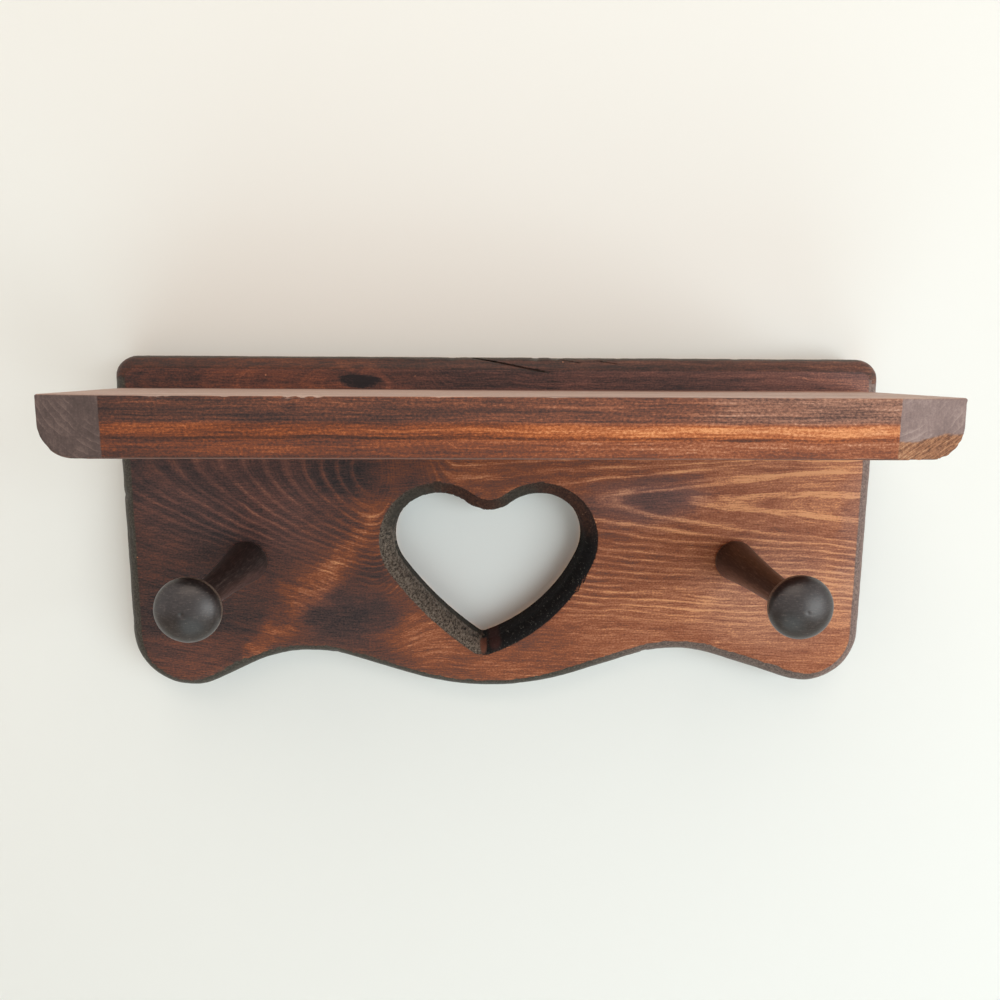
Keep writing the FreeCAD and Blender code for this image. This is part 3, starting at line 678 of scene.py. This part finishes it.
def mergedCopy(nodeName):
    shape = bmesh.new()
    shape.from_mesh(nodes[nodeName].data)
    bmesh.ops.remove_doubles(shape, verts=shape.verts, dist=0.005 * mm)
    bmesh.ops.dissolve_limit(shape, angle_limit=math.radians(0.2), verts=shape.verts, edges=shape.edges)
    return shape


def cutAt(shape, geom, point, normal):
    return bmesh.ops.bisect_plane(shape, geom=geom, dist=0.0001 * mm, plane_co=Vector(point) * mm,
                                  plane_no=Vector(normal))["geom"]


def around(faces):
    # faces with the edges and corners that belong to them
    geom = set(faces)
    for face in faces:
        geom.update(face.edges)
        geom.update(face.verts)
    return list(geom)


def cutEvery(shape, axis, first, last, step, wanted=None):
    # straight cuts, square to one axis, through the whole mesh or the wanted faces
    normal = [0, 0, 0]
    normal[axis] = 1
    if wanted:
        geom = around([face for face in shape.faces if wanted(face)])
    else:
        geom = shape.verts[:] + shape.edges[:] + shape.faces[:]
    for count in range(round((last - first) / step) + 1):
        geom = cutAt(shape, geom, [part * (first + count * step) for part in normal], normal)


def rough(point, size, seed=0.0):
    # -1..1, the same each run; size in millimetres
    return wander.noise(Vector(point) / (size * mm) + Vector((seed, seed * 0.7, -seed)))


def softStep(value, start, end):
    share = min(max((value - start) / (end - start), 0.0), 1.0)
    return share * share * (3 - 2 * share)


def finishPiece(shape, name, nodeName, material, sharpAngle=34, levelFace=None):
    mesh = bpy.data.meshes.new(name)
    shape.to_mesh(mesh)
    shape.free()
    mesh.shade_smooth()
    mesh.set_sharp_from_angle(angle=math.radians(sharpAngle))
    for part in mesh.polygons:
        # a face that is truly level keeps its own normal, right up to the rounded edge
        if levelFace and part.normal.dot(levelFace) > 0.9988:
            part.use_smooth = False
    piece = bpy.data.objects.new(name, mesh)
    bpy.context.scene.collection.objects.link(piece)
    dress(piece, material)
    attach(piece, "root")
    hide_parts(nodeName)
    print(name, "made:", len(mesh.polygons), "faces")
    return piece


# The sawn and routed back board

boardShape = {  # millimetres
    # axis, first, last and step of the cuts that give the mesh its fineness
    "cuts": [(1, -16.5, -1.5, 2.1), (2, -101.6, 37.4, 1.7), (0, -154.7, 154.7, 1.7)],
    "heartCuts": [(0, -53, 46.2, 0.8), (2, -88.2, -6.6, 0.8), (1, -17.6, -0.8, 0.8)],
    "sanding": 0.05,  # how uneven the level face is
    "waver": 0.14,  # how far the rounded edges wander
    "rasp": 0.48,
    "splits": [  # x and z along each drying split, width, depth
        [(-13.5, 37.9), (-3.2, 36.2), (17.9, 31.9), 0.30, 1.17],
        [(24, 37), (32, 35.8), 0.16, 0.45],
        [(38.1, 36.7), (47.4, 35.4), 0.16, 0.45],
    ],
    "chips": [  # x, z, reach, depth
        (-153.5, -18.5, 2.6, 0.55), (-153, -34.6, 2.2, 0.45), (-153.4, -71.2, 2.4, 0.5),
        (13.3, 37.6, 1.8, 0.5), (22, 37.6, 2.6, 0.5), (-20, 37.6, 1.6, 0.3), (47.2, 36.9, 1.5, 0.35),
        (152.5, 30, 2, 0.3), (96, 37.8, 1.6, 0.25), (-70, -86, 2, 0.3), (62, -86.5, 2.4, 0.35),
        (118, -93, 2, 0.35),
    ],
    "heartPoint": -8,  # x of the cut-out's point
}


def openSplits(shape, splits):
    for crack in splits:
        width, depth = crack[-2:]
        points = crack[:-2]
        length = math.dist(points[0], points[-1])
        for start, end in zip(points, points[1:]):
            along = Vector((end[0] - start[0], 0, end[1] - start[1]))
            side = Vector((-along.z, 0, along.x)).normalized()
            lowX, highX = sorted((start[0], end[0]))
            lowZ, highZ = sorted((start[1], end[1]))

            def near(face):
                centre = face.calc_center_median() / mm
                inReach = lowX - 1 < centre.x < highX + 1 and lowZ - 2.5 < centre.z < highZ + 2.5
                return inReach and centre.y < -10

            for offset in (-width, -width / 3, width / 3, width):
                cutAt(shape, around([face for face in shape.faces if near(face)]),
                      Vector((start[0], 0, start[1])) + side * offset, side)
            for vert in shape.verts:
                place = vert.co / mm
                fromStart = place - Vector((start[0], place.y, start[1]))
                run = fromStart.dot(along) / along.length_squared
                if -0.02 <= run <= 1.0 and abs(fromStart.dot(side)) < width / 2 and place.y < -9:
                    share = math.dist((place.x, place.z), points[0]) / length  # shallow at both ends
                    vert.co.y += depth * mm * min(1.0, 4 * share + 0.35, 5 * (1.03 - share))


def makeBackBoard(settings, material):
    shape = mergedCopy("back_board")
    for cuts in settings["cuts"]:
        cutEvery(shape, *cuts)
    leftX, rightX, lowZ, highZ = (part * mm for part in heartZone)

    def inHeart(face):
        centre = face.calc_center_median()
        return leftX < centre.x < rightX and lowZ < centre.z < highZ and abs(face.normal.y) < 0.9998

    for cuts in settings["heartCuts"]:
        cutEvery(shape, *cuts, inHeart)
    openSplits(shape, settings["splits"])
    shape.normal_update()
    pointX = settings["heartPoint"] * mm
    moves = []
    for vert in shape.verts:
        place, normal = vert.co / mm, vert.normal
        if place.y > -0.3 or (place.y > -9 and normal.y > 0.3):
            continue  # the back and its hanger beds stay true
        flat = softStep(-normal.y, 0.90, 0.999)
        depth = settings["sanding"] * (1 + rough(vert.co, 16, 1)) * flat
        waves = 0.9 + 0.9 * rough(vert.co, 7, 2) + 0.5 * rough(vert.co, 2.4, 3)
        depth += (1 - flat) * settings["waver"] * waves
        lowest = lowZ + abs(vert.co.x - pointX) * heartSlope
        inside = leftX < vert.co.x < rightX and lowest < vert.co.z < highZ
        if inside:
            side = softStep(-place.x, -14, 12) * 0.8 + 0.2  # rasped hardest on the left
            coarse = max(0.0, rough(vert.co, 1.5, 4) + 0.15) + 0.6 * max(0.0, rough(vert.co, 3.4, 5))
            below = softStep(place.y, -17.4, -15.0)  # its front arris stays crisp
            depth = depth * (0.3 + 0.7 * below) + (1 - flat) * settings["rasp"] * side * coarse * below
        for chipX, chipZ, reach, chipDepth in settings["chips"]:
            away = math.hypot(place.x - chipX, place.z - chipZ) / (reach * (1 + 0.5 * rough(vert.co, 1.3, 6)))
            if away < 1 and not inside:
                depth += chipDepth * (1 - away * away) * (1 - flat * 0.6)
        moves.append((vert, normal * (-max(depth, 0.0) * mm)))
    for vert, move in moves:
        vert.co += move
    finishPiece(shape, "backBoard", "back_board", material, levelFace=Vector((0, -1, 0)))


# The shelf, with its clipped and rounded ends

shelfShape = {  # millimetres
    "cuts": [(0, -151.9, 151.9, 2.2), (1, -113.5, -19.5, 2.2), (2, 8.2, 24.4, 1.5)],
    "arrisCuts": (0, -114.6, 110.4, 0.9),
    "endCuts": [(0, 108.8, 136, 0.9), (2, 7.4, 15, 0.7)],
    "planing": 0.04,
    "wear": 0.22,  # along the arrises
    "tear": 0.38,  # broken fibres low on the right end
    "tearFrom": 110.8,
    "bites": [  # out of the top front arris: x, reach, depth
        (-99.8, 4.6, 0.45), (-63.2, 2, 0.9), (-58.5, 1.6, 0.8), (-54.6, 1.2, 0.6), (-81, 2.4, 0.3),
        (-20, 3, 0.25), (12, 3, 0.22), (52, 2, 0.25), (83, 3, 0.25),
    ],
}


def makeShelf(settings, material):
    shape = mergedCopy("shelf_board")
    for cuts in settings["cuts"]:
        cutEvery(shape, *cuts)

    def endWood(face):
        centre = face.calc_center_median() / mm
        return centre.x > 108 and centre.z < 15 and abs(face.normal.z) < 0.98 and centre.y < -104

    def frontArris(face):
        centre = face.calc_center_median() / mm
        return centre.y < -114.6 and centre.z > 22.8

    cutEvery(shape, *settings["arrisCuts"], frontArris)
    for cuts in settings["endCuts"]:
        cutEvery(shape, *cuts, endWood)
    shape.normal_update()
    moves = []
    for vert in shape.verts:
        place, normal = vert.co / mm, vert.normal
        if place.y > -18.3:
            continue  # the edge glued to the board
        faces = [face.normal for face in vert.link_faces]
        spread = min(faces[0].dot(other) for other in faces)
        arris = softStep(spread, 0.985, 0.80)
        depth = settings["planing"] * (1.5 + rough(vert.co, 20, 11) + 0.5 * rough(vert.co, 5, 12))
        wearing = 0.35 + rough(vert.co, 4.0, 13) + 0.8 * rough(vert.co, 1.6, 14)
        depth += arris * settings["wear"] * max(0.0, wearing)
        tearFrom = settings["tearFrom"]
        torn = softStep(place.x, tearFrom, tearFrom + 3) * softStep(place.z, 14.4, 11.8)
        torn *= softStep(normal.z, -0.999, -0.9) * softStep(place.y, -100, -106)
        fibres = max(0.0, rough((vert.co.x * 0.6, vert.co.y * 0.6, vert.co.z * 1.4), 1.5, 15) + 0.25)
        depth += torn * settings["tear"] * fibres
        if place.y < -114 and place.z > 23:
            for biteX, reach, deep in settings["bites"]:
                away = abs(place.x - biteX) / (reach * (1 + 0.4 * rough(vert.co, 2.0, 16)))
                ragged = 0.7 + 0.6 * rough(vert.co, 1.1, 17)
                depth += deep * ragged * max(0.0, 1 - away * away) * softStep(place.z, 23.4, 24.6)
        moves.append((vert, normal * (-depth * mm)))
    for vert, move in moves:
        vert.co += move
    finishPiece(shape, "shelfBoard", "shelf_board", material)


# The turned pegs

pegShape = {
    "steps": 72,
    "height": -45.8,  # of the axis
    "boardFront": -18,
    "section": [  # distance from the board's face and radius, foot to crown
        (-14, 0), (-14, 5.3), (-13, 6.3), (0, 6.3), (0, 7.6), (0.25, 8.2), (0.85, 8.55), (4, 8.2),
        (12, 7.45), (22, 6.6), (34, 5.75), (46, 5.2), (54, 4.96), (59.2, 4.9), (60.8, 5.3), (61.7, 6.35),
        (62.7, 8.3), (64.3, 9.95), (66, 10.85), (67.6, 11.18), (69.3, 10.9), (70.8, 10), (72.2, 8.2),
        (73.3, 6), (74.05, 3.6), (74.4, 1.6), (74.45, 0.7),
    ],
    "pegs": {"left_peg": -105.15, "right_peg": 98.35},
    "centreMark": {"left_peg": 0.5, "right_peg": 0.18},  # how deep the lathe left its mark on the knob
}


def makePeg(settings, nodeName, x, material):
    shape = bmesh.new()
    crease = shape.edges.layers.float.new("crease_edge")
    front, height = settings["boardFront"], settings["height"]
    crown = settings["section"][-1][0]
    section = settings["section"] + [(crown - settings["centreMark"][nodeName], 0.0)]
    verts = [shape.verts.new(Vector((x + radius, front - along, height)) * mm) for along, radius in section]
    edges = [shape.edges.new(pair) for pair in zip(verts, verts[1:])]
    bmesh.ops.spin(shape, geom=verts + edges, cent=Vector((x, 0, height)) * mm, axis=(0, 1, 0),
                   dvec=(0, 0, 0), angle=math.tau, steps=settings["steps"], use_merge=True,
                   use_duplicate=False)
    bmesh.ops.remove_doubles(shape, verts=shape.verts, dist=0.002 * mm)
    bmesh.ops.recalc_face_normals(shape, faces=shape.faces)
    for edge in shape.edges:
        if all(abs(vert.co.y / mm - front) < 0.01 for vert in edge.verts):
            edge[crease] = 1.0  # the corner where the stem meets the board
    shape.normal_update()
    for vert in shape.verts:  # nothing turned by hand is quite even
        if vert.co.y < (front - 1) * mm:
            vert.co -= vert.normal * (0.05 * (1 + rough(vert.co, 9, 21)) * mm)
    piece = finishPiece(shape, nodeName.replace("_peg", "Peg"), nodeName, material, 60)
    rounding = piece.modifiers.new("rounding", "SUBSURF")
    rounding.levels = rounding.render_levels = 1


makeBackBoard(boardShape, boardWood)
makeShelf(shelfShape, shelfWood)
for nodeName, pegX in pegShape["pegs"].items():
    makePeg(pegShape, nodeName, pegX, pegWood)
for name, node in nodes.items():
    if name.endswith("_keyhole_plate"):
        dress(node, plateSteel)
    elif name.endswith("_screw"):
        dress(node, screwSteel)


# Wall, floor, lamps and camera

room = {
    "wallGap": 0.6,  # behind the board, millimetres
    "wallSize": 6,  # metres
    "wallMiddle": 1,  # metres above the keyholes
    "wallShade": (240, 240, 238),
    "openWithin": 1.2,  # light that leaves the board's back passes the wall, millimetres
    "floorDrop": 1300,  # below the keyholes, millimetres
    "floorSize": 8,
    "floorShade": (236, 233, 226),
    "floorRoughness": 0.9,
    "ambient": 0.53,
    "ambientTint": (1, 0.83, 0.70, 1),
}
lamps = {  # place, where it points, size, watts, colour; metres
    "windowLamp": ((0.90, -1.05, -0.15), (0, 0, -0.03), 0.95, 10.6, (0.80, 0.95, 1)),
    "ceilingLamp": ((-0.1, -0.6, 0.80), (0, 0, 0.05), 0.8, 3.6, (1, 0.92, 0.80)),
    "lowLamp": ((-0.1, -1, -1), (0, 0, -0.05), 1, 4.2, (0.60, 0.90, 1)),
    "backLamp": ((-0.6, 1.4, 0.5), (0, 0, 0), 1.2, 10, (1, 0.98, 0.95)),
}


def addWall(settings):
    bpy.ops.mesh.primitive_plane_add(size=settings["wallSize"])
    wall = bpy.context.object
    wall.name = "roomWall"
    upright = Matrix.Rotation(math.radians(90), 4, "X")
    behind = Matrix.Translation((0, settings["wallGap"] * mm, settings["wallMiddle"]))
    wall.data.transform(behind @ upright)
    material = bpy.data.materials.new("paintedWall")
    material.use_nodes = True
    tree = material.node_tree
    tree.nodes.clear()
    paint = addNode(tree, "BsdfDiffuse", {"Color": stain(*settings["wallShade"])})
    clear = addNode(tree, "BsdfTransparent")
    light = addNode(tree, "LightPath")
    geometry = addNode(tree, "NewGeometry")
    # seen or lit from behind the wall is open, and so is light that leaves the board's own back
    close = calc(tree, "LESS_THAN", light.outputs["Ray Length"], settings["openWithin"] * mm)
    leaving = times(tree, close, minus(tree, 1.0, light.outputs["Is Camera Ray"]))
    passing = calc(tree, "MAXIMUM", geometry.outputs["Backfacing"], leaving)
    mix = addNode(tree, "MixShader", {0: passing, 1: paint.outputs[0], 2: clear.outputs[0]})
    addNode(tree, "OutputMaterial", {"Surface": mix.outputs[0]})
    dress(wall, material)


def addFloor(settings):
    bpy.ops.mesh.primitive_plane_add(size=settings["floorSize"])
    floor = bpy.context.object
    floor.name = "roomFloor"
    floor.data.transform(Matrix.Translation((0, 0, -settings["floorDrop"] * mm)))
    material = bpy.data.materials.new("paleFloor")
    material.use_nodes = True
    shader = material.node_tree.nodes["Principled BSDF"]
    shader.inputs["Base Color"].default_value = stain(*settings["floorShade"])
    shader.inputs["Roughness"].default_value = settings["floorRoughness"]
    dress(floor, material)


def addWorld(settings):
    # the room gives a warm light, and looks white
    world = bpy.data.worlds.new("softRoom")
    bpy.context.scene.world = world
    world.use_nodes = True
    tree = world.node_tree
    tree.nodes.clear()
    light = addNode(tree, "LightPath").outputs
    seen = calc(tree, "MAXIMUM", calc(tree, "MAXIMUM", light["Is Camera Ray"], light["Is Glossy Ray"]),
                light["Is Transmission Ray"])
    lit = addNode(tree, "Background", {"Color": settings["ambientTint"], "Strength": settings["ambient"]})
    white = addNode(tree, "Background", {"Color": (1, 1, 1, 1), "Strength": 1.0})
    mix = addNode(tree, "MixShader", {0: seen, 1: lit.outputs[0], 2: white.outputs[0]})
    addNode(tree, "OutputWorld", {"Surface": mix.outputs[0]})


def addLamp(name, place, aim, size, watts, colour):
    data = bpy.data.lights.new(name, "AREA")
    data.shape = "SQUARE"
    data.size = size
    data.energy = watts
    data.color = colour
    lamp = bpy.data.objects.new(name, data)
    bpy.context.scene.collection.objects.link(lamp)
    lamp.location = place
    lamp.rotation_euler = (Vector(aim) - Vector(place)).to_track_quat("-Z", "Y").to_euler()


addWall(room)
addFloor(room)
addWorld(room)
for lampName, lampValues in lamps.items():
    addLamp(lampName, *lampValues)
print("stage and lamps set")

camera = {
    "place": (-10.88, -336.96, 30.74),  # millimetres in the part's frame
    "lookDown": 9.05,  # degrees
    "turnRight": 1.82,
    "roll": 0.30,
    "focalShare": 0.783,  # focal length as a share of the frame's width
    "sensor": 36,
    "clip": (0.01, 60),  # metres
}


def addCamera(settings):
    data = bpy.data.cameras.new("roomCamera")
    data.sensor_width = settings["sensor"]
    data.lens = settings["focalShare"] * settings["sensor"]
    data.clip_start, data.clip_end = settings["clip"]
    rig = bpy.data.objects.new("roomCamera", data)
    bpy.context.scene.collection.objects.link(rig)
    rig.location = Vector(settings["place"]) * mm
    turn = Matrix.Rotation(math.radians(-settings["turnRight"]), 4, "Z")
    tip = Matrix.Rotation(math.radians(90 - settings["lookDown"]), 4, "X")
    roll = Matrix.Rotation(math.radians(settings["roll"]), 4, "Z")
    rig.rotation_euler = (turn @ tip @ roll).to_euler()
    bpy.context.scene.camera = rig


addCamera(camera)
bpy.context.scene.view_settings.view_transform = "Standard"
print("camera set")
